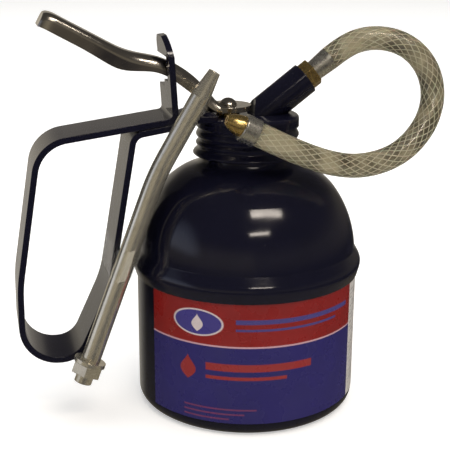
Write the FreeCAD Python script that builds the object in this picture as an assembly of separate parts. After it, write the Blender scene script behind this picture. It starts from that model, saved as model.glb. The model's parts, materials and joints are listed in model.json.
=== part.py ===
import FreeCAD, Part
import math
import os

from FreeCAD import Vector as V

# Pump oil can: a drawn steel can with a hemispherical shoulder, a screw-on pump head with a strap
# handle, a thumb lever on a fulcrum post, a braided flexible spout and a spare rigid spout.
# Frame: origin at the centre of the can's base, +Z up, handle toward -X, spout boss toward +X.
# Every size is in millimetres.

# ---- driving dimensions -------------------------------------------------------------------------
CAN_R = 38.0
WALL = 0.8
BASE_CORNER_R = 4.0
SEAM_LOW_Z = 46.6
DOME_CENTRE_Z = 53.0
DOME_R = 37.5
NECK_R = 14.9
NECK_TOP_Z = 97.0
FIT_GAP = 0.05
LABEL_GAUGE = 0.15
LABEL_LOW_Z = 4.8
LABEL_FROM_DEG = 202.0
LABEL_TO_DEG = 339.0

CAP_R = 17.35
CAP_INNER_R = 15.75
CAP_LOW_Z = 86.9
CAP_PLATE_Z = 98.0
CAP_TOP_Z = 100.6

PUMP_X = -6.8
BARREL_R = 6.0
BARREL_BORE = 5.1
BARREL_LOW_Z = 36.0
ROD_R = 1.6
PORT_Z = 91.0
OUTLET_X = 7.5
DUCT_R = 2.2
DUCT_BORE = 1.4

BOSS_R = 5.5
BOSS_TILT_DEG = 37.2
BOSS_END = V(19.9, 0, 111.9)
BOSS_BACK_R = 9.2

STRAP_W = 20.0
STRAP_T = 2.0
LAP_Z = 99.8
RIVET_X = -14.6
SLOT_LOW_Z = 113.1
SLOT_HIGH_Z = 121.0
SLOT_NEAR_Y = -5.6
POST_ROUND_R = 10.4
LEG_FOOT = (-49.0, 45.6)
LEG_HEAD = (-40.1, 96.6)

LEVER_T = 1.5
TONGUE_R = 7.8
TONGUE_LOW_Z = 102.3
TONGUE_TOP_Z = 104.0

HOSE_R = 4.0
SPIGOT_R = 2.6
BUSHING_NUT_H = 3.6
HOSE_FERRULE_L = 7.1
NOZZLE_FERRULE_R = 4.5
NOZZLE_FERRULE_L = 5.4
NOZZLE_TIP_L = 5.6
TUBE_R = 3.175
SPARE_NUT_H = 3.6
SPARE_STUB_L = 6.7

BOSS_AXIS = V(math.cos(math.radians(BOSS_TILT_DEG)), 0, math.sin(math.radians(BOSS_TILT_DEG)))
UP = V(0, 0, 1)


# ---- shared helpers -----------------------------------------------------------------------------
def save(name, shape):
    shape.exportStep(f"parts/{name}.step")


def cylinder(radius, base, direction, length):
    return Part.makeCylinder(radius, length, base, direction)


def post(radius, x, low, high):
    return Part.makeCylinder(radius, high - low, V(x, 0, low), UP)


def pipe(outer, inner, x, low, high):
    return post(outer, x, low, high).cut(post(inner, x, low, high))


def revolve(edges):
    """Solid of revolution about the vertical axis, from a closed outline in (radius, z)."""
    face = Part.Face(Part.Wire(Part.__sortEdges__(edges)))
    solid = face.revolve(V(0, 0, 0), UP, 360)
    return Part.makeSolid(solid) if solid.ShapeType != "Solid" else solid


def rz(radius, z):
    return V(radius, 0, z)


def line(a, b):
    return Part.LineSegment(a, b).toShape()


def arc(a, mid, b):
    return Part.Arc(a, mid, b).toShape()


def chain(points):
    return [line(a, b) for a, b in zip(points, points[1:])]


def spline(points):
    curve = Part.BSplineCurve()
    curve.interpolate(points)
    return curve.toShape()


def tangent_spline(points, start_heading, end_heading):
    curve = Part.BSplineCurve()
    curve.interpolate(Points=points, InitialTangent=start_heading, FinalTangent=end_heading)
    return curve.toShape()


def hex_prism(across_flats, base, direction, length):
    corner_r = across_flats / math.sqrt(3)
    corners = [V(corner_r * math.cos(math.radians(60 * k)), corner_r * math.sin(math.radians(60 * k)), 0)
               for k in range(7)]
    prism = Part.Face(Part.makePolygon(corners)).extrude(V(0, 0, length))
    prism.Placement = FreeCAD.Placement(base, FreeCAD.Rotation(UP, direction))
    return prism


def bend(before, corner, after, radius):
    """Tangent arc that rounds a corner: its start, middle and end."""
    into = (corner - before).normalize()
    out = (after - corner).normalize()
    half = into.getAngle(out) / 2
    reach = radius * math.tan(half)
    start = corner - into * reach
    end = corner + out * reach
    bisector = (out - into).normalize()
    centre = corner + bisector * (radius / math.cos(half))
    return start, centre - bisector * radius, end


def rounded_path(points, radii):
    """Straight runs joined by tangent arcs, one radius for each inner point."""
    edges = []
    at = points[0]
    for k, radius in enumerate(radii, start=1):
        start, middle, end = bend(points[k - 1], points[k], points[k + 1], radius)
        if start.distanceToPoint(at) > 1e-4:
            edges.append(line(at, start))
        edges.append(arc(start, middle, end))
        at = end
    edges.append(line(at, points[-1]))
    return Part.Wire(edges)


def free_radii(points):
    """Largest arc that each corner's two runs leave room for."""
    radii = []
    for before, corner, after in zip(points, points[1:], points[2:]):
        into = corner - before
        out = after - corner
        half = into.getAngle(out) / 2
        radii.append(0.45 * min(into.Length, out.Length) / math.tan(half))
    return radii


def sweep(path, points, radius):
    ring = Part.Wire(Part.makeCircle(radius, points[0], points[1] - points[0]))
    return path.makePipeShell([ring], True, False)


# ---- can ----------------------------------------------------------------------------------------
def can_lower_shell():
    top_z = 51.4
    inner_r = CAN_R - WALL
    flat_r = CAN_R - BASE_CORNER_R
    knee = BASE_CORNER_R * (1 - math.sqrt(0.5))
    knee_in = (BASE_CORNER_R - WALL) * (1 - math.sqrt(0.5))
    floor = [rz(0, 0), rz(23.5, 0), rz(24.5, 0.9), rz(28, 0.9), rz(29, 0), rz(flat_r, 0)]
    inside = [rz(p.x - 0.25 if k in (1, 2) else p.x + (0.25 if k in (3, 4) else 0), p.z + WALL)
              for k, p in enumerate(floor)]
    outline = chain(floor)
    outline.append(arc(floor[-1], rz(CAN_R - knee, knee), rz(CAN_R, BASE_CORNER_R)))
    outline += chain([rz(CAN_R, BASE_CORNER_R), rz(CAN_R, top_z), rz(inner_r, top_z),
                      rz(inner_r, BASE_CORNER_R)])
    outline.append(arc(rz(inner_r, BASE_CORNER_R), rz(inner_r - knee_in, WALL + knee_in), inside[-1]))
    outline += chain(inside[::-1])
    outline.append(line(inside[0], floor[0]))
    return revolve(outline)


def can_label():
    band = pipe(CAN_R + LABEL_GAUGE, CAN_R, 0, LABEL_LOW_Z, SEAM_LOW_Z - 0.2)
    reach = 3 * CAN_R
    spread = LABEL_TO_DEG - LABEL_FROM_DEG
    wedge = Part.makeCylinder(reach, 2 * reach, V(0, 0, 0), UP, spread)
    wedge.rotate(V(0, 0, 0), UP, LABEL_FROM_DEG)
    return band.common(wedge)


def dome_z(radius, shell_r):
    return DOME_CENTRE_Z + math.sqrt(shell_r ** 2 - radius ** 2)


def dome_heading(radius, shell_r):
    """Direction of the spherical outline toward the top, at this radius."""
    rise = math.sqrt(shell_r ** 2 - radius ** 2)
    return V(-rise, 0, radius).normalize()


def can_dome_shell():
    """Seam bead that laps over the lower shell, and the round shoulder that flares up to its filler hole."""
    inner_shell_r = DOME_R - WALL
    hole_r = NECK_R + FIT_GAP
    lap_r = CAN_R + FIT_GAP
    lip_z = 88.3
    bead_low = [rz(lap_r, 48.2), rz(lap_r, SEAM_LOW_Z), rz(38.7, SEAM_LOW_Z)]
    bead = spline([bead_low[2], rz(39.25, 48.6), rz(39.6, 50.7), rz(38.8, 52.9), rz(37.43, 55.3)])
    bead_in = spline([bead_low[0], rz(38.5, 49.4), rz(38.75, 50.8), rz(38.0, 52.6), rz(36.63, 55.3)])
    outer = [rz(30.0, dome_z(30.0, DOME_R)), rz(27.0, 78.6), rz(24.0, 80.9), rz(21.0, 82.5), rz(18.8, 83.3),
             rz(17.3, 84.1), rz(16.3, 85.2), rz(15.85, 86.4), rz(15.65, lip_z)]
    inner = [rz(29.4, dome_z(29.4, inner_shell_r)), rz(26.46, 78.0), rz(23.56, 80.23), rz(20.66, 81.77),
             rz(18.48, 82.57), rz(16.8, 83.4), rz(15.6, 84.5), rz(hole_r, 86.0)]
    outline = [bead, bead_in,
               arc(rz(37.43, 55.3), rz(35.0, dome_z(35.0, DOME_R)), outer[0]),
               arc(rz(36.63, 55.3), rz(34.2, dome_z(34.2, inner_shell_r)), inner[0]),
               tangent_spline(outer, dome_heading(30.0, DOME_R), V(-0.04, 0, 1)),
               tangent_spline(inner, dome_heading(29.4, inner_shell_r), UP)]
    outline += chain([outer[-1], rz(hole_r, lip_z), inner[-1]])
    return revolve(outline + chain(bead_low))


def can_neck():
    """Ridged filling neck brazed into the shoulder's hole, with its lower edge rolled inward."""
    low_z = 84.6
    inner_r = NECK_R - WALL
    ridges = [88.6, 89.9, 91.2, 92.5, 93.8, 95.1, 96.2]
    side = [rz(NECK_R + (0.6 if k % 2 else 0), z) for k, z in enumerate(ridges)]
    outline = chain([rz(inner_r, low_z), rz(NECK_R - 0.3, low_z), rz(NECK_R, low_z + 0.3), side[0]])
    outline.append(spline(side))
    outline += chain([side[-1], rz(NECK_R, NECK_TOP_Z), rz(inner_r, NECK_TOP_Z), rz(inner_r, low_z)])
    return revolve(outline)


def neck_gasket():
    return pipe(15.3, 13.4, 0, NECK_TOP_Z + 0.05, CAP_PLATE_Z - 0.05)


# ---- pump head ----------------------------------------------------------------------------------
def pump_cap():
    """Cap with a curled lower rim and rolled rings on its skirt, bored for the pump and the outlet."""
    rings = [rz(17.3, CAP_LOW_Z), rz(18.4, 88.0), rz(16.95, 90.1), rz(17.45, 91.2), rz(16.6, 92.3),
             rz(17.4, 94.0), rz(16.75, 95.7), rz(CAP_R, 96.9)]
    edge_r = 1.2
    knee = edge_r * (1 - math.sqrt(0.5))
    outline = [spline(rings),
               line(rings[-1], rz(CAP_R, CAP_TOP_Z - edge_r)),
               arc(rz(CAP_R, CAP_TOP_Z - edge_r), rz(CAP_R - knee, CAP_TOP_Z - knee),
                   rz(CAP_R - edge_r, CAP_TOP_Z))]
    outline += chain([rz(CAP_R - edge_r, CAP_TOP_Z), rz(0, CAP_TOP_Z), rz(0, CAP_PLATE_Z),
                      rz(CAP_INNER_R, CAP_PLATE_Z), rz(CAP_INNER_R, CAP_LOW_Z + 1.0), rings[0]])
    cap = revolve(outline)
    cap = cap.cut(Part.makeBox(30, STRAP_W + 0.2, 5, V(-42.5, -STRAP_W / 2 - 0.1, LAP_Z)))
    cap = cap.cut(post(3.6, PUMP_X, CAP_PLATE_Z - 1, CAP_TOP_Z + 1))
    return cap.cut(post(DUCT_BORE, OUTLET_X, CAP_PLATE_Z - 1, CAP_TOP_Z + 1))


def spout_boss():
    """Slanted boss on the cap, hollowed at the back so that the tongue's disc clears it."""
    length = 34.0
    bore_depth = (BOSS_END.x - OUTLET_X) / BOSS_AXIS.x
    boss = cylinder(BOSS_R, BOSS_END - BOSS_AXIS * length, BOSS_AXIS, length)
    boss = boss.common(Part.makeBox(60, 40, 60, V(PUMP_X, -20, CAP_TOP_Z)))
    boss = boss.cut(post(BOSS_BACK_R, PUMP_X, CAP_TOP_Z - 1, BOSS_END.z))
    boss = boss.cut(cylinder(1.8, BOSS_END - BOSS_AXIS * bore_depth, BOSS_AXIS, bore_depth + 1))
    boss = boss.cut(post(DUCT_BORE, OUTLET_X, CAP_TOP_Z - 1, BOSS_END.z - 9.4))
    return boss.cut(cylinder(3.0, BOSS_END - BOSS_AXIS * 6, BOSS_AXIS, 7))


def strap_solid(points, radii):
    """Flat strap bent in the handle plane: a rounded path given thickness and width."""
    path = rounded_path(points, radii)
    sides = path.makeOffset2D(STRAP_T / 2, 0, False, True)
    other = path.makeOffset2D(-STRAP_T / 2, 0, False, True)
    ends = []
    for index in (0, -1):
        ends.append(line(sides.OrderedVertexes[index].Point, other.OrderedVertexes[index].Point))
    outline = Part.Wire(Part.__sortEdges__(sides.Edges + other.Edges + ends))
    face = Part.Face(outline)
    solid = face.extrude(V(0, STRAP_W, 0))
    solid.translate(V(0, -STRAP_W / 2, 0))
    return solid


def handle_strap():
    """One strap: fulcrum post, top run, outer leg, U-bend, inner leg and the layer lapped on the cap."""
    route = [(-28.9, 127.5), (-27.7, 121.5), (-26.4, 100.95), (-70.4, 94.9), (-78.3, 48.0), (-78.6, 21.7),
             (-60.1, 21.7), LEG_FOOT, LEG_HEAD, (-25.5, 98.9), (-19.4, LAP_Z + 1.0), (-12.6, LAP_Z + 1.0)]
    radii = [12.0, 2.4, 12.0, 50.0, 12.0, 9.0, 40.0, 4.0, 5.0, 5.0]
    strap = strap_solid([V(x, 0, z) for x, z in route], radii)
    head = Part.makeBox(20, STRAP_W, 20, V(-36, -STRAP_W / 2, SLOT_HIGH_Z + 0.6))
    strap = strap.cut(head.cut(cylinder(POST_ROUND_R, V(-60, 0, 128.0 - POST_ROUND_R), V(1, 0, 0), 60)))
    window = Part.makeBox(6, STRAP_W, SLOT_HIGH_Z - SLOT_LOW_Z, V(-30.6, SLOT_NEAR_Y, SLOT_LOW_Z))
    relief = Part.makeBox(6, STRAP_W, SLOT_LOW_Z - 110.8, V(-30.6, 0.5, 110.8))
    strap = strap.cut(window).cut(relief)
    for y in (-6.0, 6.0):
        strap = strap.cut(cylinder(1.5, V(RIVET_X, y, LAP_Z - 1), UP, 5))
    return strap


def handle_rivets():
    rivets = []
    for y in (-6.0, 6.0):
        shank = cylinder(1.5, V(RIVET_X, y, LAP_Z), UP, STRAP_T)
        head_ball = Part.makeSphere(3.4, V(RIVET_X, y, LAP_Z + STRAP_T - 2.5))
        head = head_ball.common(cylinder(3, V(RIVET_X, y, LAP_Z + STRAP_T), UP, 3))
        rivets.append(shank.fuse(head).removeSplitter())
    return Part.makeCompound(rivets)


def gland_nut():
    nut = hex_prism(7.0, V(PUMP_X, 0, CAP_TOP_Z), UP, 1.3)
    nut = nut.fuse(post(2.9, PUMP_X, CAP_PLATE_Z - 1.0, CAP_TOP_Z))
    return nut.cut(post(ROD_R + 0.05, PUMP_X, 90, 110))


def pump_barrel():
    barrel = post(BARREL_R, PUMP_X, BARREL_LOW_Z, CAP_PLATE_Z).fuse(post(3.6, PUMP_X, 97, CAP_TOP_Z))
    barrel = barrel.cut(post(BARREL_BORE, PUMP_X, BARREL_LOW_Z - 1, 96.4))
    barrel = barrel.cut(post(2.9, PUMP_X, CAP_PLATE_Z - 1.0, CAP_TOP_Z + 1))
    barrel = barrel.cut(post(ROD_R + 0.05, PUMP_X, 96, 98))
    return barrel.cut(cylinder(DUCT_BORE, V(PUMP_X, 0, PORT_Z), V(1, 0, 0), 8))


def elbow(radius, start_x):
    bar = cylinder(radius, V(start_x, 0, PORT_Z), V(1, 0, 0), OUTLET_X - start_x)
    riser = post(radius, OUTLET_X, PORT_Z, CAP_PLATE_Z)
    return bar.fuse(riser).fuse(Part.makeSphere(radius, V(OUTLET_X, 0, PORT_Z)))


def delivery_tube():
    tube = elbow(DUCT_R, PUMP_X).cut(elbow(DUCT_BORE, PUMP_X - 1))
    return tube.cut(post(BARREL_R, PUMP_X, 80, 100)).removeSplitter()


# ---- pump internals -----------------------------------------------------------------------------
def foot_valve():
    """Plug in the barrel's lower end with a conical ball seat and a spigot for the dip tube."""
    body = post(BARREL_BORE, PUMP_X, BARREL_LOW_Z, 40).fuse(post(BARREL_R, PUMP_X, 33, BARREL_LOW_Z))
    body = body.fuse(post(2.4, PUMP_X, 27, 33))
    body = body.cut(post(3.2, PUMP_X, 36.5, 41))
    seat = Part.makeCone(1.4, 3.2, 1.8, V(PUMP_X, 0, 34.7), UP)
    return body.cut(seat).cut(post(1.4, PUMP_X, 26, 36)).removeSplitter()


def inlet_ball():
    return Part.makeSphere(2.3, V(PUMP_X, 0, 37.85))


def ball_stop_ring():
    return pipe(BARREL_BORE, 1.3, PUMP_X, 42.0, 43.0)


def dip_tube():
    return pipe(3.1, 2.4, PUMP_X, 11.0, 33.0)


def intake_strainer():
    """Perforated cup pushed over the dip tube's lower end."""
    cup = post(4.0, PUMP_X, 7.0, 14.0).cut(post(3.1, PUMP_X, 11.0, 15.0)).cut(post(2.6, PUMP_X, 8.0, 12.0))
    for k in range(6):
        turn = math.radians(60 * k)
        cup = cup.cut(cylinder(0.7, V(PUMP_X, 0, 9.6), V(math.cos(turn), math.sin(turn), 0), 6))
    return cup.cut(post(1.0, PUMP_X, 6, 9))


def plunger_rod():
    return post(ROD_R, PUMP_X, 49.0, 104.9)


def plunger_head():
    """Domed button on the rod that the lever's tongue lifts."""
    rim_z = 104.15
    cap_h = 2.1
    rim_r = 3.05
    ball_r = (rim_r ** 2 + cap_h ** 2) / (2 * cap_h)
    head = Part.makeSphere(ball_r, V(PUMP_X, 0, rim_z + cap_h - ball_r))
    head = head.common(post(rim_r, PUMP_X, rim_z, rim_z + 5))
    return head.cut(post(ROD_R, PUMP_X, 100, 104.9))


def piston():
    return pipe(5.0, ROD_R, PUMP_X, 55.0, 57.5)


def piston_cup():
    cup = post(5.04, PUMP_X, 51.5, 55.0).cut(post(4.1, PUMP_X, 50, 53.9))
    return cup.cut(post(ROD_R, PUMP_X, 50, 56))


def piston_nut():
    nut = hex_prism(5.5, V(PUMP_X, 0, 51.0), UP, 2.9)
    return nut.cut(post(ROD_R, PUMP_X, 50, 55))


def return_spring():
    """Coil between the piston and the barrel's closed top."""
    wire_r = 0.4
    mean_r = 3.8
    low_z = 57.5 + wire_r
    height = 96.4 - wire_r - low_z
    helix = Part.makeHelix(height / 9, height, mean_r)
    ring = Part.Wire(Part.makeCircle(wire_r, V(mean_r, 0, 0), V(0, 1, 0)))
    coil = Part.Wire(helix.Edges).makePipeShell([ring], True, True)
    coil.translate(V(PUMP_X, 0, low_z))
    return coil


# ---- thumb lever --------------------------------------------------------------------------------
# Along the lever's top line: x, z, fall in degrees, width, depth and shoulder radius of the arch section.
LEVER_STATIONS = [(-66.6, 135.2, 28, 10.4, 4.4, 2.6), (-64.6, 135.2, 28.5, 12.8, 5.1, 2.4),
                  (-61.0, 133.5, 29, 13.5, 5.3, 2.2), (-52.0, 128.6, 29, 13.6, 5.4, 2.2),
                  (-46.5, 125.6, 27, 13.2, 5.8, 2.4), (-41.5, 123.2, 20, 11.6, 6.1, 2.8),
                  (-36.5, 121.8, 14, 10.0, 5.4, 3.2), (-31.0, 120.6, 16, 10.0, 4.7, 3.2),
                  (-25.8, 118.6, 26, 10.0, 4.7, 3.2), (-21.0, 115.7, 36, 10.0, 5.0, 3.2),
                  (-16.9, 112.1, 45, 10.6, 4.7, 2.8), (-13.9, 108.6, 50, 11.6, 3.9, 2.6),
                  (-11.6, 105.9, 42, 12.8, 3.1, 2.3), (-9.0, 104.2, 22, 14.0, 2.3, 1.8)]


def arch_wire(station, inset, below):
    """Arch outline closed below, set in from the lever's outer skin, square to its top line."""
    x, z, tilt_deg, width, depth, shoulder = station
    half = width / 2 - inset
    rounding = shoulder - inset * 0.7
    knee = rounding * (1 - math.sqrt(0.5))
    left = [V(0, -half, -depth - below), V(0, -half, -inset - rounding), V(0, -half + knee, -inset - knee),
            V(0, -half + rounding, -inset)]
    right = [V(0, -p.y, p.z) for p in reversed(left)]
    edges = [line(left[0], left[1]), arc(left[1], left[2], left[3]), line(left[3], right[0]),
             arc(right[0], right[1], right[2]), line(right[2], right[3]), line(right[3], left[0])]
    wire = Part.Wire(edges)
    wire.Placement = FreeCAD.Placement(V(x, 0, z), FreeCAD.Rotation(V(0, 1, 0), tilt_deg))
    return wire


def thumb_lever():
    """Pressed channel with a closed nose: wide thumb pad, narrower shank, round tongue with a slot."""
    skin = Part.makeLoft([arch_wire(station, 0, 0) for station in LEVER_STATIONS], True, False)
    hollow = Part.makeLoft([arch_wire(station, LEVER_T, 1) for station in LEVER_STATIONS[1:]], True, False)
    tongue = post(TONGUE_R, PUMP_X, TONGUE_LOW_Z, TONGUE_TOP_Z)
    slot_half = ROD_R + 0.5
    slot_back = PUMP_X - 3.5
    slot = Part.makeBox(PUMP_X - slot_back, 2 * slot_half, 20, V(slot_back, -slot_half, 95))
    slot = slot.fuse(post(slot_half, PUMP_X, 95, 115)).fuse(post(slot_half, slot_back, 95, 115))
    well = post(4.2, PUMP_X, TONGUE_TOP_Z, 112).fuse(post(4.2, PUMP_X - 1.6, TONGUE_TOP_Z, 112))
    return skin.cut(hollow).fuse(tongue).cut(slot).cut(well).removeSplitter()


# ---- flexible spout -----------------------------------------------------------------------------
HOSE_START = BOSS_END + BOSS_AXIS * (BUSHING_NUT_H + HOSE_FERRULE_L)
HOSE_ROUTE = [HOSE_START, HOSE_START + BOSS_AXIS * 7.0, V(41.4, -1.4, 125.2), V(49.8, -3.4, 124.6),
              V(56.6, -5.6, 121.0), V(61.2, -8.0, 114.6), V(62.4, -10.4, 106.8), V(60.0, -12.8, 99.0),
              V(54.6, -15.2, 92.6), V(47.6, -17.6, 88.2), V(39.6, -19.6, 86.0), V(31.0, -21.2, 85.6),
              V(22.6, -22.4, 87.2), V(14.6, -22.9, 90.0), V(6.0, -22.8, 93.8), V(-2.8, -22.4, 98.2)]
NOZZLE_AXIS = (HOSE_ROUTE[-1] - HOSE_ROUTE[-2]).normalize()


def hose_bushing():
    """Hexagonal bushing screwed into the boss, with a spigot inside the hose."""
    bushing = hex_prism(8.6, BOSS_END, BOSS_AXIS, BUSHING_NUT_H)
    bushing = bushing.fuse(cylinder(3.0, BOSS_END - BOSS_AXIS * 6, BOSS_AXIS, 6))
    bushing = bushing.fuse(cylinder(SPIGOT_R, BOSS_END, BOSS_AXIS, BUSHING_NUT_H + HOSE_FERRULE_L))
    return bushing.cut(cylinder(1.5, BOSS_END - BOSS_AXIS * 7, BOSS_AXIS, 30)).removeSplitter()


def hose_ferrule():
    """Sleeve that widens toward the hose."""
    base = BOSS_END + BOSS_AXIS * BUSHING_NUT_H
    ferrule = Part.makeCone(3.5, HOSE_R, HOSE_FERRULE_L, base, BOSS_AXIS)
    return ferrule.cut(cylinder(SPIGOT_R, base, BOSS_AXIS, HOSE_FERRULE_L + 1))


def flex_hose():
    radii = free_radii(HOSE_ROUTE)
    path = rounded_path(HOSE_ROUTE, radii)
    hose = sweep(path, HOSE_ROUTE, HOSE_R)
    section = math.pi * HOSE_R ** 2
    print("hose length", round(path.Length, 2), "volume ratio", round(hose.Volume / section / path.Length, 4))
    print("hose radii", [round(r, 1) for r in radii])
    return hose


def nozzle_ferrule():
    ferrule = cylinder(NOZZLE_FERRULE_R, HOSE_ROUTE[-1], NOZZLE_AXIS, NOZZLE_FERRULE_L)
    ferrule = ferrule.cut(cylinder(SPIGOT_R, HOSE_ROUTE[-1], NOZZLE_AXIS, NOZZLE_FERRULE_L + 1))
    rim_length = 2 * math.pi * NOZZLE_FERRULE_R
    rim = [e for e in ferrule.Edges if abs(e.Length - rim_length) < 0.01]
    return ferrule.makeFillet(0.5, rim)


def nozzle_tip():
    """Bullet-shaped tip with a spigot inside the ferrule."""
    side = [rz(3.5, 0), rz(2.95, NOZZLE_TIP_L * 0.52), rz(1.5, NOZZLE_TIP_L)]
    tip = revolve(chain([side[2], rz(0, NOZZLE_TIP_L), rz(0, 0), side[0]]) + [arc(*side)])
    tip = tip.fuse(post(SPIGOT_R, 0, -NOZZLE_FERRULE_L, 0))
    tip = tip.cut(post(0.8, 0, -NOZZLE_FERRULE_L - 1, NOZZLE_TIP_L + 1)).removeSplitter()
    face = HOSE_ROUTE[-1] + NOZZLE_AXIS * NOZZLE_FERRULE_L
    tip.Placement = FreeCAD.Placement(face, FreeCAD.Rotation(UP, NOZZLE_AXIS))
    return tip


# ---- spare rigid spout --------------------------------------------------------------------------
SPARE_ROUTE = [V(-57.5, -15.6, 22.0), V(-33.3, -12.2, 84.2), V(-19.3, -14.5, 109.3)]
SPARE_TAPER = 9.0
SPARE_AXIS = (SPARE_ROUTE[1] - SPARE_ROUTE[0]).normalize()


def spare_tube_solid(radius, tip_r, over):
    """Bent rod with a tapered end; over lengthens it past both ends, for a clean bore."""
    start, corner, end = SPARE_ROUTE
    heading = (end - corner).normalize()
    route = [start - SPARE_AXIS * over, corner, end]
    rod = sweep(rounded_path(route, [70.0]), route, radius)
    return rod.fuse(Part.makeCone(radius, tip_r, SPARE_TAPER, end, heading)).removeSplitter()


def spare_spout_tube():
    """Steel tube with one gentle bend and a swaged, tapered tip."""
    return spare_tube_solid(TUBE_R, 1.9, 0).cut(spare_tube_solid(TUBE_R - 0.8, 1.1, 1.0))


def spare_spout_nut():
    """Collar and hexagon brazed on the tube's lower end, with the threaded stub that fits the boss."""
    top = SPARE_ROUTE[0]
    down = SPARE_AXIS * -1
    nut = cylinder(5.3, top + SPARE_AXIS * 1.4, down, 1.4).fuse(hex_prism(9.2, top, down, SPARE_NUT_H))
    nut = nut.fuse(cylinder(2.95, top, down, SPARE_STUB_L))
    nut = nut.cut(cylinder(TUBE_R, top, SPARE_AXIS, 4))
    return nut.cut(cylinder(1.5, top + SPARE_AXIS * 2, down, 14)).removeSplitter()


def tangent_touch(corner, centre, reach, side):
    """Point where a line from the corner touches the circle, on its left (+1) or right (-1)."""
    gap = centre - corner
    heading = math.atan2(gap.y, gap.x) + side * math.asin(reach / gap.Length)
    return centre + V(-math.sin(heading), math.cos(heading), 0) * (side * reach)


def tape_outline(z, grow):
    """Loop of tape in a level plane round the strap's inner leg and the spare tube."""
    leg_slope = (LEG_HEAD[0] - LEG_FOOT[0]) / (LEG_HEAD[1] - LEG_FOOT[1])
    leg_x = LEG_FOOT[0] + (z - LEG_FOOT[1]) * leg_slope
    share = (z - SPARE_ROUTE[0].z) / (SPARE_ROUTE[1].z - SPARE_ROUTE[0].z)
    tube = SPARE_ROUTE[0] + (SPARE_ROUTE[1] - SPARE_ROUTE[0]) * share
    side_y = STRAP_W / 2 + 0.1 + grow
    near = V(leg_x - 1.1 - grow, -side_y, z)
    far = V(near.x, side_y, z)
    corner = V(leg_x + 1.1 + grow, side_y, z)
    reach = TUBE_R + 0.5 + grow
    start = tangent_touch(corner, tube, reach, 1)
    end = tangent_touch(near, tube, reach, -1)
    from_turn = math.atan2(start.y - tube.y, start.x - tube.x)
    to_turn = math.atan2(end.y - tube.y, end.x - tube.x)
    mid_turn = from_turn - (from_turn - to_turn) % (2 * math.pi) / 2
    middle = tube + V(math.cos(mid_turn), math.sin(mid_turn), 0) * reach
    return Part.Wire([line(near, far), line(far, corner), line(corner, start), arc(start, middle, end),
                      line(end, near)])


def retaining_tape():
    outer = Part.makeLoft([tape_outline(z, 0.25) for z in (50.0, 60.0)], True, True)
    inner = Part.makeLoft([tape_outline(z, 0.0) for z in (49.9, 60.1)], True, True)
    return outer.cut(inner)


# ---- write every sub-part -----------------------------------------------------------------------
NODES = [can_lower_shell, can_label, can_dome_shell, can_neck, neck_gasket, pump_cap, spout_boss, handle_strap,
         handle_rivets, gland_nut, pump_barrel, delivery_tube, foot_valve, inlet_ball, ball_stop_ring,
         dip_tube, intake_strainer, plunger_rod, plunger_head, piston, piston_cup, piston_nut,
         return_spring, thumb_lever, hose_bushing, hose_ferrule, flex_hose, nozzle_ferrule, nozzle_tip,
         spare_spout_tube, spare_spout_nut, retaining_tape]

os.makedirs("parts", exist_ok=True)
for make in NODES:
    shape = make()
    print(make.__name__, shape.ShapeType, len(shape.Solids), shape.isValid(), round(shape.Volume, 1))
    save(make.__name__, shape)
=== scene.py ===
import json
import math

import bpy
import numpy as np
from mathutils import Matrix, Vector


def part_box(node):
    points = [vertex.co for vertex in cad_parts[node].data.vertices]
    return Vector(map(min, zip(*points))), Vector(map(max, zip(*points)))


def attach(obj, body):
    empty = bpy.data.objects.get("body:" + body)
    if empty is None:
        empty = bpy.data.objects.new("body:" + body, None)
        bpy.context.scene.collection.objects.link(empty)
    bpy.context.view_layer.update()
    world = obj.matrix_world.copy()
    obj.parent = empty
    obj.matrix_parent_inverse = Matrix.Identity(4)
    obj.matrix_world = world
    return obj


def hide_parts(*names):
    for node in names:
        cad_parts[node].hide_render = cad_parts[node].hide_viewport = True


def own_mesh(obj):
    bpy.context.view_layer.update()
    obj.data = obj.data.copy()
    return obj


# Looks of the pump oil can. Everything is in metres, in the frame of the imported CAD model:
# origin at the centre of the can's base, +Z up, handle toward -X, spout boss toward +X.

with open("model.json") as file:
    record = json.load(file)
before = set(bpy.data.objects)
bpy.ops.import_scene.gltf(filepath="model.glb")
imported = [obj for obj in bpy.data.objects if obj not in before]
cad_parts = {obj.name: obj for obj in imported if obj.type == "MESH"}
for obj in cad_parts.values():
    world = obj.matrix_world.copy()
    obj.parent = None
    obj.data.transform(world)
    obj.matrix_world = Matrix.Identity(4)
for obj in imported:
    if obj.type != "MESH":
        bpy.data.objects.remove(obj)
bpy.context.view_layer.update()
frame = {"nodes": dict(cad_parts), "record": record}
NODES = frame["nodes"]
MM = 0.001


# ---- camera -------------------------------------------------------------------------------------
CAMERA_AT = (-0.088113, -0.328842, 0.162526)
CAMERA_RIGHT = (0.97163, -0.23646, 0.00417)
CAMERA_UP = (0.06344, 0.27756, 0.95861)
CAMERA_LENS_MM = 81.82
SENSOR_MM = 36.0


def make_camera():
    data = bpy.data.cameras.new("camera")
    data.lens = CAMERA_LENS_MM
    data.sensor_width = SENSOR_MM
    data.clip_start = 0.01
    data.clip_end = 50.0
    camera = bpy.data.objects.new("camera", data)
    bpy.context.scene.collection.objects.link(camera)
    right = Vector(CAMERA_RIGHT).normalized()
    back = right.cross(Vector(CAMERA_UP)).normalized()
    up = back.cross(right)
    turn = Matrix((right, up, back)).transposed().to_4x4()
    camera.matrix_world = Matrix.Translation(CAMERA_AT) @ turn
    bpy.context.scene.camera = camera


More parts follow.
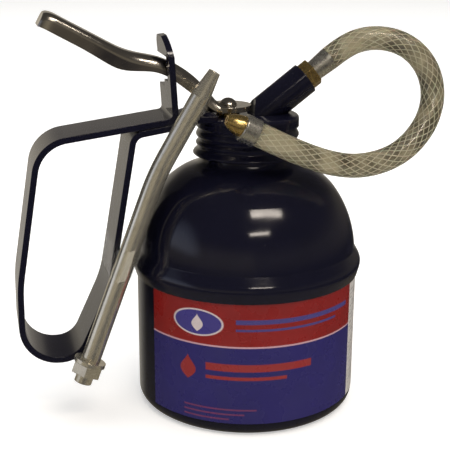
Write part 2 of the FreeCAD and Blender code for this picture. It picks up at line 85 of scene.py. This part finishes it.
# ---- route of the flexible spout ----------------------------------------------------------------
BOSS_TILT = math.radians(37.2)
BOSS_AXIS = Vector((math.cos(BOSS_TILT), 0, math.sin(BOSS_TILT)))
HOSE_START = Vector((19.9, 0, 111.9)) * MM + BOSS_AXIS * 10.7 * MM
HOSE_POINTS_MM = [(41.4, -1.4, 125.2), (49.8, -3.4, 124.6), (56.6, -5.6, 121.0), (61.2, -8.0, 114.6),
                  (62.4, -10.4, 106.8), (60.0, -12.8, 99.0), (54.6, -15.2, 92.6), (47.6, -17.6, 88.2),
                  (39.6, -19.6, 86.0), (31.0, -21.2, 85.6), (22.6, -22.4, 87.2), (14.6, -22.9, 90.0),
                  (6.0, -22.8, 93.8), (-2.8, -22.4, 98.2)]
HOSE_ROUTE = [HOSE_START, HOSE_START + BOSS_AXIS * 7.0 * MM] + [Vector(p) * MM for p in HOSE_POINTS_MM]
HOSE_R = 4.0 * MM
LINER_R = 3.1 * MM
BRAID_R = 3.42 * MM
BRAID_LIFT = 0.10 * MM
BRAID_PITCH = 45.0 * MM
YARNS_PER_WAY = 11
YARN_HALF_WIDE = 0.17 * MM
YARN_HALF_THICK = 0.12 * MM
SAMPLE_STEP = 0.45 * MM


def nurbs_curve(name, points, radius, thick):
    """NURBS route. Each point carries the tube's radius, so the curve's own bounds stay true."""
    data = bpy.data.curves.new(name, "CURVE")
    data.dimensions = "3D"
    spline = data.splines.new("NURBS")
    spline.points.add(len(points) - 1)
    for control, point in zip(spline.points, points):
        control.co = (point[0], point[1], point[2], 1.0)
        control.radius = radius
    spline.order_u = 3
    spline.use_endpoint_u = True
    data.resolution_u = 16
    data.bevel_depth = 1.0 if thick else 0.0
    data.bevel_resolution = 8
    obj = bpy.data.objects.new(name, data)
    bpy.context.scene.collection.objects.link(obj)
    return obj


def line_of(points):
    """Dense points along the route's own spline, evenly spaced."""
    probe = nurbs_curve("probe", points, HOSE_R, False)
    bpy.context.view_layer.update()
    mesh = bpy.data.meshes.new_from_object(probe)
    raw = np.array([v.co for v in mesh.vertices], float).reshape(-1, 3)
    bpy.data.meshes.remove(mesh)
    bpy.data.objects.remove(probe)
    reach = np.concatenate([[0.0], np.cumsum(np.linalg.norm(np.diff(raw, axis=0), axis=1))])
    even = np.linspace(0.0, reach[-1], int(reach[-1] / SAMPLE_STEP) + 1)
    return even, np.stack([np.interp(even, reach, raw[:, k]) for k in range(3)], axis=1)


def carried_frames(line):
    """Two directions square to the line at each point, carried along it without twist."""
    ahead = np.gradient(line, axis=0)
    ahead /= np.linalg.norm(ahead, axis=1)[:, None]
    side = np.cross(ahead[0], (0.0, 1.0, 0.0))
    first, second = [], []
    for direction in ahead:
        side = side - direction * (side @ direction)
        side /= np.linalg.norm(side)
        first.append(side)
        second.append(np.cross(direction, side))
    return np.array(first), np.array(second)


def mesh_object(name, verts, faces, body):
    mesh = bpy.data.meshes.new(name)
    mesh.from_pydata([tuple(v) for v in verts], [], faces)
    mesh.shade_smooth()
    obj = bpy.data.objects.new(name, mesh)
    bpy.context.scene.collection.objects.link(obj)
    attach(obj, body)
    return obj


def ring_faces(rings, sides, offset):
    """Side quads of a swept ring, and a cap at each end."""
    faces = []
    for r in range(rings - 1):
        for k in range(sides):
            a = offset + r * sides + k
            b = offset + r * sides + (k + 1) % sides
            faces.append((a, b, b + sides, a + sides))
    faces.append(tuple(offset + k for k in reversed(range(sides))))
    faces.append(tuple(offset + (rings - 1) * sides + k for k in range(sides)))
    return faces


def hose_liner(line, first, second):
    """Inner tube of the hose, seen through the gaps in its braid."""
    sides = 24
    verts = []
    for centre, n, b in zip(line, first, second):
        for k in range(sides):
            turn = 2 * math.pi * k / sides
            verts.append(centre + LINER_R * (math.cos(turn) * n + math.sin(turn) * b))
    return mesh_object("hose_liner", verts, ring_faces(len(line), sides, 0), "head")


def hose_braid(even, line, first, second):
    """Flat yarns laid in two opposite helices that pass over and under each other."""
    sides = 6
    verts, faces = [], []
    lift = BRAID_LIFT * np.cos(2 * math.pi * YARNS_PER_WAY * even / BRAID_PITCH)
    for way in (1, -1):
        for strand in range(YARNS_PER_WAY):
            turn = way * 2 * math.pi * even / BRAID_PITCH + 2 * math.pi * strand / YARNS_PER_WAY
            out = np.cos(turn)[:, None] * first + np.sin(turn)[:, None] * second
            centre = line + out * (BRAID_R + way * lift)[:, None]
            ahead = np.gradient(centre, axis=0)
            ahead /= np.linalg.norm(ahead, axis=1)[:, None]
            across = np.cross(ahead, out)
            offset = len(verts)
            for c, o, a in zip(centre, out, across):
                for k in range(sides):
                    around = 2 * math.pi * k / sides
                    verts.append(c + o * YARN_HALF_THICK * math.sin(around)
                                 + a * YARN_HALF_WIDE * math.cos(around))
            faces += ring_faces(len(line), sides, offset)
    return mesh_object("hose_braid", verts, faces, "head")


def make_hose():
    skin = nurbs_curve("hose_skin", HOSE_ROUTE, HOSE_R, True)
    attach(skin, "head")
    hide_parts("flex_hose")
    even, line = line_of(HOSE_ROUTE)
    first, second = carried_frames(line)
    liner = hose_liner(line, first, second)
    braid = hose_braid(even, line, first, second)
    return skin, liner, braid


# ---- pump spring --------------------------------------------------------------------------------
SPRING_WIRE_R = 0.4 * MM
SPRING_TURNS = 9


def make_spring():
    """Pump spring: a coil of round wire that fills the box of the CAD spring."""
    low, high = (Vector(corner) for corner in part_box("return_spring"))
    up = Vector((0.0, 0.0, 1.0))
    per_turn = 40
    sides = 10
    steps = SPRING_TURNS * per_turn
    middle = (low + high) / 2
    mean_r = (high.y - low.y) / 2 - SPRING_WIRE_R
    rise = (high.z - low.z - 2 * SPRING_WIRE_R) / steps
    verts = []
    for step in range(steps + 1):
        turn = 2 * math.pi * step / per_turn
        out = Vector((math.cos(turn), math.sin(turn), 0.0))
        centre = Vector((middle.x, middle.y, low.z + SPRING_WIRE_R + rise * step)) + out * mean_r
        for k in range(sides):
            around = 2 * math.pi * k / sides
            verts.append(centre + SPRING_WIRE_R * (math.cos(around) * out + math.sin(around) * up))
    spring = mesh_object("spring_coil", verts, ring_faces(steps + 1, sides, 0), "head")
    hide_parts("return_spring")
    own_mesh(spring)
    return spring


# ---- node materials -----------------------------------------------------------------------------
class Net:
    """A node material being wired. Sizes are in millimetres on the object."""

    def __init__(self, name, metallic=0.0):
        self.mat = bpy.data.materials.new(name)
        self.mat.use_nodes = True
        self.nodes = self.mat.node_tree.nodes
        self.links = self.mat.node_tree.links
        self.shader = self.nodes["Principled BSDF"]
        self.set("Metallic", metallic)
        self.place = self.add("ShaderNodeTexCoord").outputs["Object"]
        self.normal = None

    def set(self, socket, value):
        self.feed(self.shader.inputs[socket], value)

    def add(self, kind, **settings):
        node = self.nodes.new(kind)
        for key, value in settings.items():
            setattr(node, key, value)
        return node

    def feed(self, socket, value):
        if isinstance(value, bpy.types.NodeSocket):
            self.links.new(value, socket)
        else:
            socket.default_value = value

    def math(self, operation, a, b=0.0, clamp=False):
        node = self.add("ShaderNodeMath", operation=operation, use_clamp=clamp)
        self.feed(node.inputs[0], a)
        self.feed(node.inputs[1], b)
        return node.outputs[0]

    def span(self, value, low, high, to_low=0.0, to_high=1.0):
        """Value mapped from low..high to to_low..to_high, and held at the ends."""
        node = self.add("ShaderNodeMapRange")
        for socket, given in zip(("Value", "From Min", "From Max", "To Min", "To Max"),
                                 (value, low, high, to_low, to_high)):
            self.feed(node.inputs[socket], given)
        return node.outputs["Result"]

    def noise(self, size, detail=2.0, stretch=(1.0, 1.0, 1.0)):
        shift = self.add("ShaderNodeMapping")
        self.feed(shift.inputs["Vector"], self.place)
        shift.inputs["Scale"].default_value = stretch
        node = self.add("ShaderNodeTexNoise")
        self.feed(node.inputs["Vector"], shift.outputs["Vector"])
        node.inputs["Scale"].default_value = 1.0 / (size * MM)
        node.inputs["Detail"].default_value = detail
        return node.outputs["Fac"]

    def cells(self, size):
        node = self.add("ShaderNodeTexVoronoi")
        self.feed(node.inputs["Vector"], self.place)
        node.inputs["Scale"].default_value = 1.0 / (size * MM)
        tone = self.add("ShaderNodeRGBToBW")
        self.feed(tone.inputs["Color"], node.outputs["Color"])
        return tone.outputs["Val"]

    def mix(self, share, a, b):
        node = self.add("ShaderNodeMix", data_type="RGBA")
        self.feed(node.inputs[0], share)
        self.feed(node.inputs[6], a if isinstance(a, bpy.types.NodeSocket) else (*a, 1.0))
        self.feed(node.inputs[7], b if isinstance(b, bpy.types.NodeSocket) else (*b, 1.0))
        return node.outputs[2]

    def rounded(self, radius):
        """Shading of a small rounded edge. Returns 0 on open faces and up to 1 on the edge."""
        bevel = self.add("ShaderNodeBevel", samples=6)
        bevel.inputs["Radius"].default_value = radius * MM
        flat = self.add("ShaderNodeNewGeometry")
        dot = self.add("ShaderNodeVectorMath", operation="DOT_PRODUCT")
        self.feed(dot.inputs[0], bevel.outputs["Normal"])
        self.feed(dot.inputs[1], flat.outputs["Normal"])
        self.normal = bevel.outputs["Normal"]
        return self.span(dot.outputs["Value"], 0.99, 0.80)

    def bump(self, height, depth):
        node = self.add("ShaderNodeBump")
        node.inputs["Distance"].default_value = depth * MM
        self.feed(node.inputs["Height"], height)
        if self.normal is not None:
            self.feed(node.inputs["Normal"], self.normal)
        self.normal = node.outputs["Normal"]

    def done(self):
        if self.normal is not None:
            self.set("Normal", self.normal)
        return self.mat

    def axes(self):
        """The three coordinates of a point on the object, in millimetres."""
        split = self.add("ShaderNodeSeparateXYZ")
        self.feed(split.inputs[0], self.place)
        return [self.math("MULTIPLY", out, 1.0 / MM) for out in split.outputs]

    def along(self, axis):
        """Distance along a direction, in millimetres."""
        dot = self.add("ShaderNodeVectorMath", operation="DOT_PRODUCT")
        self.feed(dot.inputs[0], self.place)
        dot.inputs[1].default_value = axis
        return self.math("MULTIPLY", dot.outputs["Value"], 1.0 / MM)


def navy_enamel():
    """Sprayed gloss enamel: faint orange peel, dust specks, thinner paint on the edges."""
    net = Net("navy_enamel")
    edge = net.rounded(0.3)
    tone = net.noise(14.0, 3.0)
    colour = net.mix(tone, (0.0040, 0.0042, 0.0105), (0.0068, 0.0068, 0.0170))
    speck = net.span(net.noise(0.5, 1.0), 0.74, 0.80, 0.0, 0.30)
    colour = net.mix(speck, colour, (0.10, 0.10, 0.10))
    thin = net.math("MULTIPLY", edge, net.span(net.noise(1.2, 4.0), 0.48, 0.70, 0.0, 0.45))
    colour = net.mix(thin, colour, (0.05, 0.05, 0.06))
    net.set("Base Color", colour)
    smudge = net.span(net.noise(9.0, 5.0), 0.35, 0.75, 0.09, 0.17)
    net.set("Roughness", net.math("ADD", smudge, net.math("MULTIPLY", edge, 0.12)))
    net.bump(net.noise(2.6, 2.0), 0.010)
    net.bump(net.noise(0.25, 2.0), 0.0006)
    return net.done()


# Print on the band, in millimetres: across from the band's middle, and height above the base.
LABEL_R_MM = 38.15
LABEL_MIDDLE = math.radians(-93.0)
RULE_BELOW_Z, BLUE_TOP_Z, RULE_TOP_Z = 31.45, 31.8, 32.0
EMBLEM = (-24.0, 39.2)
EMBLEM_RIM = (9.0, 4.6)
EMBLEM_FIELD = (8.4, 4.1)
UPPER_BARS = [(39.6, 41.2, 33.0), (37.2, 38.0, 26.0)]     # low, high, right end
LOWER_BARS = [(23.2, 25.8, 15.0), (20.2, 21.4, 6.0)]
SMALL_BARS = [(9.4, 9.95, -4.0), (7.7, 8.25, -8.0), (6.0, 6.55, -13.0)]
PANEL_FROM = 36.35
RED = (0.205, 0.0080, 0.0070)
BLUE = (0.0205, 0.0160, 0.118)
PALE = (0.55, 0.47, 0.47)
PRINT_RED = (0.27, 0.022, 0.022)
PRINT_PURPLE = (0.15, 0.03, 0.10)
BAR_BLUE = (0.060, 0.045, 0.19)
EMBLEM_BLUE = (0.045, 0.035, 0.20)
RULE_PINK = (0.50, 0.30, 0.34)
PAPER = (0.60, 0.57, 0.54)
PAPER_GREY = (0.16, 0.15, 0.17)


def inside(net, value, low, high, soft=0.12):
    """1 between low and high, 0 outside, over a soft edge."""
    up = net.span(value, low - soft, low + soft)
    down = net.span(value, high - soft, high + soft, 1.0, 0.0)
    return net.math("MULTIPLY", up, down)


def bar(net, across, height, left, right, low, high):
    return net.math("MULTIPLY", inside(net, across, left, right), inside(net, height, low, high))


def oval(net, across, height, centre, half):
    dx = net.math("DIVIDE", net.math("SUBTRACT", across, centre[0]), half[0])
    dy = net.math("DIVIDE", net.math("SUBTRACT", height, centre[1]), half[1])
    far = net.math("SQRT", net.math("ADD", net.math("MULTIPLY", dx, dx), net.math("MULTIPLY", dy, dy)))
    return net.span(far, 0.97, 1.03, 1.0, 0.0)


def drop(net, across, height, centre_x, top, size):
    """Oil drop: pointed at the top, round below."""
    share = net.math("DIVIDE", net.math("SUBTRACT", top, height), size, clamp=True)
    belly = net.math("MULTIPLY", net.math("SINE", net.math("MULTIPLY", share, math.pi)),
                     net.math("SINE", net.math("MULTIPLY", share, math.pi / 2)))
    off = net.math("ABSOLUTE", net.math("SUBTRACT", across, centre_x))
    edge = net.math("SUBTRACT", net.math("MULTIPLY", belly, size * 0.42), off)
    return net.span(edge, 0.02, 0.20)


def label_print():
    """Two-colour printed band with plain marks only: an oval with a drop, and stripes."""
    net = Net("label_print")
    x, y, z = net.axes()
    angle = net.math("SUBTRACT", net.math("ARCTAN2", y, x), LABEL_MIDDLE)
    u = net.math("MULTIPLY", angle, LABEL_R_MM)
    fade = net.span(net.noise(20.0, 3.0), 0.3, 0.7)
    red = net.mix(fade, RED, tuple(c * 1.16 for c in RED))
    blue = net.mix(fade, BLUE, tuple(c * 1.10 for c in BLUE))
    colour = net.mix(net.span(z, BLUE_TOP_Z - 0.1, BLUE_TOP_Z + 0.1), blue, red)
    colour = net.mix(inside(net, z, RULE_BELOW_Z, RULE_TOP_Z), colour, RULE_PINK)
    colour = net.mix(oval(net, u, z, EMBLEM, EMBLEM_RIM), colour, PALE)
    colour = net.mix(oval(net, u, z, EMBLEM, EMBLEM_FIELD), colour, EMBLEM_BLUE)
    colour = net.mix(drop(net, u, z, EMBLEM[0], 42.6, 6.6), colour, PALE)
    for low, high, right in UPPER_BARS:
        colour = net.mix(bar(net, u, z, -11.0, right, low, high), colour, BAR_BLUE)
    colour = net.mix(drop(net, u, z, -27.5, 28.2, 9.4), colour, PRINT_RED)
    for low, high, right in LOWER_BARS:
        colour = net.mix(bar(net, u, z, -21.0, right, low, high), colour, PRINT_RED)
    for low, high, right in SMALL_BARS:
        colour = net.mix(bar(net, u, z, -29.0, right, low, high), colour, PRINT_PURPLE)
    panel = net.span(u, PANEL_FROM - 0.15, PANEL_FROM + 0.15)
    lines = net.span(net.math("FRACT", net.math("DIVIDE", z, 1.5)), 0.62, 0.70)
    lines = net.math("MULTIPLY", lines, bar(net, u, z, 37.6, 46.0, 8.0, 44.0))
    broken = net.span(net.noise(1.6, 0.0), 0.42, 0.50)
    lines = net.math("MULTIPLY", lines, broken)
    paper = net.mix(net.math("MULTIPLY", lines, 0.55), PAPER, PAPER_GREY)
    colour = net.mix(panel, colour, paper)
    screen = net.span(net.noise(0.22, 1.0), 0.3, 0.7, 0.94, 1.04)
    dim = net.add("ShaderNodeVectorMath", operation="SCALE")
    net.feed(dim.inputs[0], colour)
    net.feed(dim.inputs["Scale"], screen)
    net.set("Base Color", dim.outputs["Vector"])
    net.set("Roughness", net.span(net.noise(7.0, 5.0), 0.35, 0.75, 0.24, 0.36))
    net.bump(net.noise(5.0, 3.0), 0.012)
    net.bump(net.noise(0.3, 2.0), 0.0012)
    return net.done()


def nickel_plate(name, worn, bright, smooth, rough, metallic):
    """Bright plate: soft mottling, handling smears and fine draw lines."""
    net = Net(name, metallic)
    edge = net.rounded(0.25)
    colour = net.mix(net.noise(8.0, 4.0), worn, bright)
    stain = net.span(net.noise(3.0, 5.0), 0.60, 0.78, 0.0, 0.5)
    colour = net.mix(stain, colour, tuple(c * 0.62 for c in worn))
    colour = net.mix(net.math("MULTIPLY", edge, 0.35), colour, (0.80, 0.78, 0.72))
    net.set("Base Color", colour)
    net.set("Roughness", net.span(net.noise(5.0, 5.0), 0.30, 0.75, smooth, rough))
    net.bump(net.noise(3.2, 2.0), 0.010)
    net.bump(net.noise(0.5, 3.0, (0.2, 1.0, 0.2)), 0.0012)
    return net.done()


def zinc_plate():
    """Dull plate with small crystals and a few yellow stains."""
    net = Net("zinc_plate", 0.95)
    edge = net.rounded(0.2)
    colour = net.mix(net.cells(0.9), (0.62, 0.60, 0.53), (0.80, 0.78, 0.71))
    colour = net.mix(net.span(net.noise(2.0, 4.0), 0.55, 0.75, 0.0, 0.5), colour, (0.42, 0.38, 0.29))
    colour = net.mix(net.math("MULTIPLY", edge, 0.4), colour, (0.74, 0.73, 0.70))
    net.set("Base Color", colour)
    net.set("Roughness", net.span(net.noise(1.4, 4.0), 0.3, 0.7, 0.18, 0.36))
    net.bump(net.noise(0.8, 3.0), 0.008)
    return net.done()


def machined_brass(name, axis):
    """Turned brass: rings left by the tool round its axis, tarnish in the hollows."""
    net = Net(name, 0.97)
    edge = net.rounded(0.2)
    tarnish = net.span(net.noise(2.4, 5.0), 0.42, 0.75, 0.0, 0.75)
    colour = net.mix(tarnish, (0.78, 0.57, 0.22), (0.50, 0.32, 0.11))
    colour = net.mix(net.math("MULTIPLY", edge, 0.45), colour, (0.85, 0.66, 0.30))
    net.set("Base Color", colour)
    rings = net.math("SINE", net.math("MULTIPLY", net.along(axis), 2 * math.pi / 0.22))
    net.set("Roughness", net.span(net.noise(1.0, 4.0), 0.3, 0.7, 0.18, 0.34))
    net.bump(rings, 0.0005)
    net.bump(net.noise(2.5, 2.0), 0.004)
    return net.done()


def spring_steel():
    """Drawn grey wire with a light oil film."""
    net = Net("spring_steel", 1.0)
    colour = net.mix(net.noise(0.9, 4.0), (0.34, 0.34, 0.35), (0.50, 0.50, 0.50))
    net.set("Base Color", colour)
    net.set("Roughness", net.span(net.noise(0.4, 3.0), 0.3, 0.7, 0.22, 0.42))
    net.bump(net.noise(0.2, 3.0), 0.002)
    return net.done()


def nitrile_rubber():
    """Black moulded rubber with dust in it."""
    net = Net("nitrile_rubber")
    net.rounded(0.2)
    net.set("Base Color", net.mix(net.noise(1.5, 4.0), (0.018, 0.018, 0.018), (0.045, 0.044, 0.042)))
    net.set("Roughness", net.span(net.noise(0.8, 3.0), 0.3, 0.7, 0.50, 0.75))
    net.bump(net.noise(0.15, 3.0), 0.008)
    return net.done()


def cup_leather():
    """Oiled pump leather with a pebbled grain."""
    net = Net("cup_leather")
    net.rounded(0.15)
    colour = net.mix(net.cells(0.45), (0.20, 0.10, 0.045), (0.33, 0.18, 0.085))
    net.set("Base Color", net.mix(net.noise(2.0, 4.0), colour, (0.11, 0.055, 0.025)))
    net.set("Roughness", net.span(net.noise(0.7, 3.0), 0.3, 0.7, 0.38, 0.62))
    net.bump(net.cells(0.45), 0.03)
    return net.done()


def clear_tape():
    """Thin clear film with a few upright wrinkles."""
    net = Net("clear_tape")
    net.set("Roughness", 0.07)
    net.set("Base Color", net.mix(net.noise(2.5, 3.0), (0.96, 0.96, 0.94), (0.90, 0.90, 0.87)))
    net.set("Transmission Weight", 1.0)
    net.set("IOR", 1.12)
    net.set("Alpha", 0.12)
    net.bump(net.noise(2.2, 3.0, (1.0, 1.0, 0.22)), 0.05)
    net.bump(net.noise(0.5, 2.0), 0.006)
    return net.done()


def clear_vinyl():
    """Outer wall of the hose."""
    net = Net("clear_vinyl")
    net.set("Base Color", net.mix(net.noise(6.0, 3.0), (0.93, 0.90, 0.80), (0.86, 0.82, 0.70)))
    net.set("Transmission Weight", 1.0)
    net.set("IOR", 1.38)
    net.set("Roughness", net.span(net.noise(3.0, 4.0), 0.3, 0.7, 0.06, 0.16))
    net.bump(net.noise(1.4, 3.0), 0.012)
    return net.done()


def braid_yarn():
    """Pale twisted yarn of the hose's braid."""
    net = Net("braid_yarn")
    net.set("Roughness", 0.45)
    colour = net.mix(net.noise(0.5, 3.0), (0.62, 0.58, 0.45), (0.88, 0.86, 0.76))
    net.set("Base Color", colour)
    net.set("Subsurface Weight", 0.15)
    net.set("Subsurface Scale", 0.001)
    net.bump(net.noise(0.12, 2.0, (1.0, 1.0, 0.3)), 0.01)
    return net.done()


def hose_bore():
    """Inner tube of the hose, cloudy in patches."""
    net = Net("hose_bore")
    patch = net.span(net.noise(7.0, 3.0), 0.36, 0.64)
    colour = net.mix(patch, (0.12, 0.105, 0.072), (0.56, 0.51, 0.38))
    net.set("Base Color", colour)
    net.set("Roughness", net.span(net.noise(1.5, 3.0), 0.3, 0.7, 0.25, 0.45))
    net.bump(net.noise(1.2, 3.0), 0.01)
    return net.done()


def paint(obj, material):
    obj.data.materials.clear()
    obj.data.materials.append(material)


# Worn colour, bright colour, smoothest and roughest finish, share of metal.
BRIGHT_NICKEL = ((0.56, 0.52, 0.45), (0.70, 0.66, 0.59), 0.12, 0.28, 1.0)
SATIN_NICKEL = ((0.74, 0.69, 0.55), (0.88, 0.83, 0.70), 0.15, 0.26, 0.87)
DULLED = ("spare_spout_tube", "spare_spout_nut")
NOZZLE_AXIS = (HOSE_ROUTE[-1] - HOSE_ROUTE[-2]).normalized()
BRASS_AXES = {"nozzle_tip": NOZZLE_AXIS, "hose_bushing": BOSS_AXIS}


def paint_nodes(steel):
    """Every carried-over CAD node gets the material of its slot in the record."""
    by_slot = {"navy_enamel": navy_enamel(), "label_print": label_print(),
               "nickel_plate": nickel_plate("nickel_plate", *BRIGHT_NICKEL),
               "zinc_plate": zinc_plate(), "brass": machined_brass("brass", Vector((0, 0, 1))),
               "spring_steel": steel, "nitrile_rubber": nitrile_rubber(),
               "cup_leather": cup_leather(), "clear_tape": clear_tape()}
    satin = nickel_plate("satin_nickel", *SATIN_NICKEL)
    for row in frame["record"]["subparts"]:
        node, slot = row["node"], row["material_slot"]
        if node in DULLED:
            paint(NODES[node], satin)
        elif node in BRASS_AXES:
            paint(NODES[node], machined_brass("brass_" + node, BRASS_AXES[node]))
        elif slot in by_slot:
            paint(NODES[node], by_slot[slot])


# ---- studio -------------------------------------------------------------------------------------
def make_floor():
    half = 9.0
    mesh = bpy.data.meshes.new("floor")
    corners = [(-half, -half, 0), (half, -half, 0), (half, half, 0), (-half, half, 0)]
    mesh.from_pydata(corners, [], [(0, 1, 2, 3)])
    floor = bpy.data.objects.new("floor", mesh)
    bpy.context.scene.collection.objects.link(floor)
    net = Net("pale_floor")
    net.set("Roughness", 0.7)
    net.set("Base Color", net.mix(net.noise(60.0, 3.0), (0.90, 0.90, 0.895), (0.93, 0.93, 0.925)))
    net.set("Emission Color", (1.0, 1.0, 1.0, 1.0))
    net.set("Emission Strength", 0.46)
    paint(floor, net.done())
    floor.visible_glossy = False


def area_light(name, at, aim, size, power, colour, seen_in_gloss):
    data = bpy.data.lights.new(name, "AREA")
    data.shape = "RECTANGLE"
    data.size, data.size_y = size
    data.energy = power
    data.color = colour
    light = bpy.data.objects.new(name, data)
    bpy.context.scene.collection.objects.link(light)
    light.location = at
    light.rotation_euler = (Vector(aim) - Vector(at)).to_track_quat("-Z", "Y").to_euler()
    light.visible_glossy = seen_in_gloss
    light.visible_camera = False


CEILING = 1.27
WARM = (1.0, 0.90, 0.79)


def make_lights():
    """Two ceiling panels that show as highlights, and a wide soft fill that doesn't."""
    area_light("panel_near", (0.29, -0.98, CEILING), (0.29, -0.98, 0), (0.84, 0.20), 9.0, WARM, True)
    area_light("panel_far", (0.03, -1.97, CEILING), (0.03, -1.97, 0), (0.81, 0.24), 8.5, WARM, True)
    area_light("fill", (0.0, 0.2, 2.2), (0, 0, 0), (3.2, 3.2), 60.0, (1.0, 0.99, 0.97), False)


# Brightness of the room by height of the direction looked in, from -1 (down) to 1 (up).
ROOM_BACK = [(-1.0, (0.34, 0.31, 0.26)), (-0.36, (0.46, 0.43, 0.375)), (-0.05, (0.46, 0.42, 0.36)),
             (0.16, (0.36, 0.33, 0.285)), (0.28, (0.15, 0.138, 0.124)), (0.42, (0.10, 0.093, 0.085)),
             (1.0, (0.075, 0.070, 0.064))]
ROOM_FRONT = [(-1.0, (0.20, 0.175, 0.125)), (-0.50, (0.16, 0.14, 0.10)), (-0.34, (0.035, 0.032, 0.033)),
              (-0.18, (0.030, 0.028, 0.031)), (-0.05, (0.12, 0.105, 0.085)), (0.10, (0.16, 0.145, 0.12)),
              (0.22, (0.10, 0.090, 0.075)), (0.36, (0.06, 0.056, 0.053))]
WALL = (0.10, 0.088, 0.062)
DAYLIGHT = (0.46, 0.52, 0.70)


def height_ramp(nodes, links, height, stops):
    """Colour by height, where height runs from 0 (down) to 1 (up)."""
    ramp = nodes.new("ShaderNodeValToRGB")
    links.new(height, ramp.inputs["Fac"])
    elements = ramp.color_ramp.elements
    while len(elements) < len(stops):
        elements.new(0.5)
    for element, (z, colour) in zip(elements, stops):
        element.position = (z + 1) / 2
        element.color = (*colour, 1.0)
    return ramp.outputs["Color"]


def world_span(nodes, links, value, low, high):
    """0 at low, 1 at high, and smooth between."""
    node = nodes.new("ShaderNodeMapRange")
    node.interpolation_type = "SMOOTHSTEP"
    links.new(value, node.inputs["Value"])
    node.inputs["From Min"].default_value = low
    node.inputs["From Max"].default_value = high
    return node.outputs["Result"]


def world_product(nodes, links, a, b):
    node = nodes.new("ShaderNodeMath")
    node.operation = "MULTIPLY"
    links.new(a, node.inputs[0])
    links.new(b, node.inputs[1])
    return node.outputs[0]


def world_mix(nodes, links, share, a, b, blend):
    node = nodes.new("ShaderNodeMix")
    node.data_type = "RGBA"
    node.blend_type = blend
    links.new(share, node.inputs[0])
    for socket, value in ((node.inputs[6], a), (node.inputs[7], b)):
        if isinstance(value, tuple):
            socket.default_value = (*value, 1.0)
        else:
            links.new(value, socket)
    return node.outputs[2]


def make_world():
    """Warm room: paler behind, dark in front, with a lit wall and a cool window on the left."""
    world = bpy.data.worlds.new("room")
    world.use_nodes = True
    nodes, links = world.node_tree.nodes, world.node_tree.links
    where = nodes.new("ShaderNodeTexCoord")
    split = nodes.new("ShaderNodeSeparateXYZ")
    links.new(where.outputs["Generated"], split.inputs[0])
    x, y, z = split.outputs
    height = nodes.new("ShaderNodeMapRange")
    links.new(z, height.inputs["Value"])
    height.inputs["From Min"].default_value = -1.0
    behind = height_ramp(nodes, links, height.outputs["Result"], ROOM_BACK)
    front = height_ramp(nodes, links, height.outputs["Result"], ROOM_FRONT)
    room = world_mix(nodes, links, world_span(nodes, links, y, 0.74, 0.95), front, behind, "MIX")
    leftward = world_span(nodes, links, x, -0.02, -0.20)
    risen = world_span(nodes, links, z, -0.24, -0.04)
    not_high = world_span(nodes, links, z, 0.34, 0.14)
    wall = world_product(nodes, links, world_product(nodes, links, leftward, risen), not_high)
    room = world_mix(nodes, links, wall, room, WALL, "ADD")
    far_left = world_span(nodes, links, x, -0.86, -0.97)
    above_sill = world_span(nodes, links, z, -0.02, 0.14)
    window = world_product(nodes, links, far_left, above_sill)
    room = world_mix(nodes, links, window, room, DAYLIGHT, "ADD")
    links.new(room, nodes["Background"].inputs["Color"])
    bpy.context.scene.world = world


make_camera()
hose_skin, liner_piece, braid_piece = make_hose()
paint(hose_skin, clear_vinyl())
paint(liner_piece, hose_bore())
paint(braid_piece, braid_yarn())
steel_wire = spring_steel()
paint(make_spring(), steel_wire)
paint_nodes(steel_wire)
make_floor()
make_lights()
make_world()
bpy.context.scene.view_settings.view_transform = "Standard"
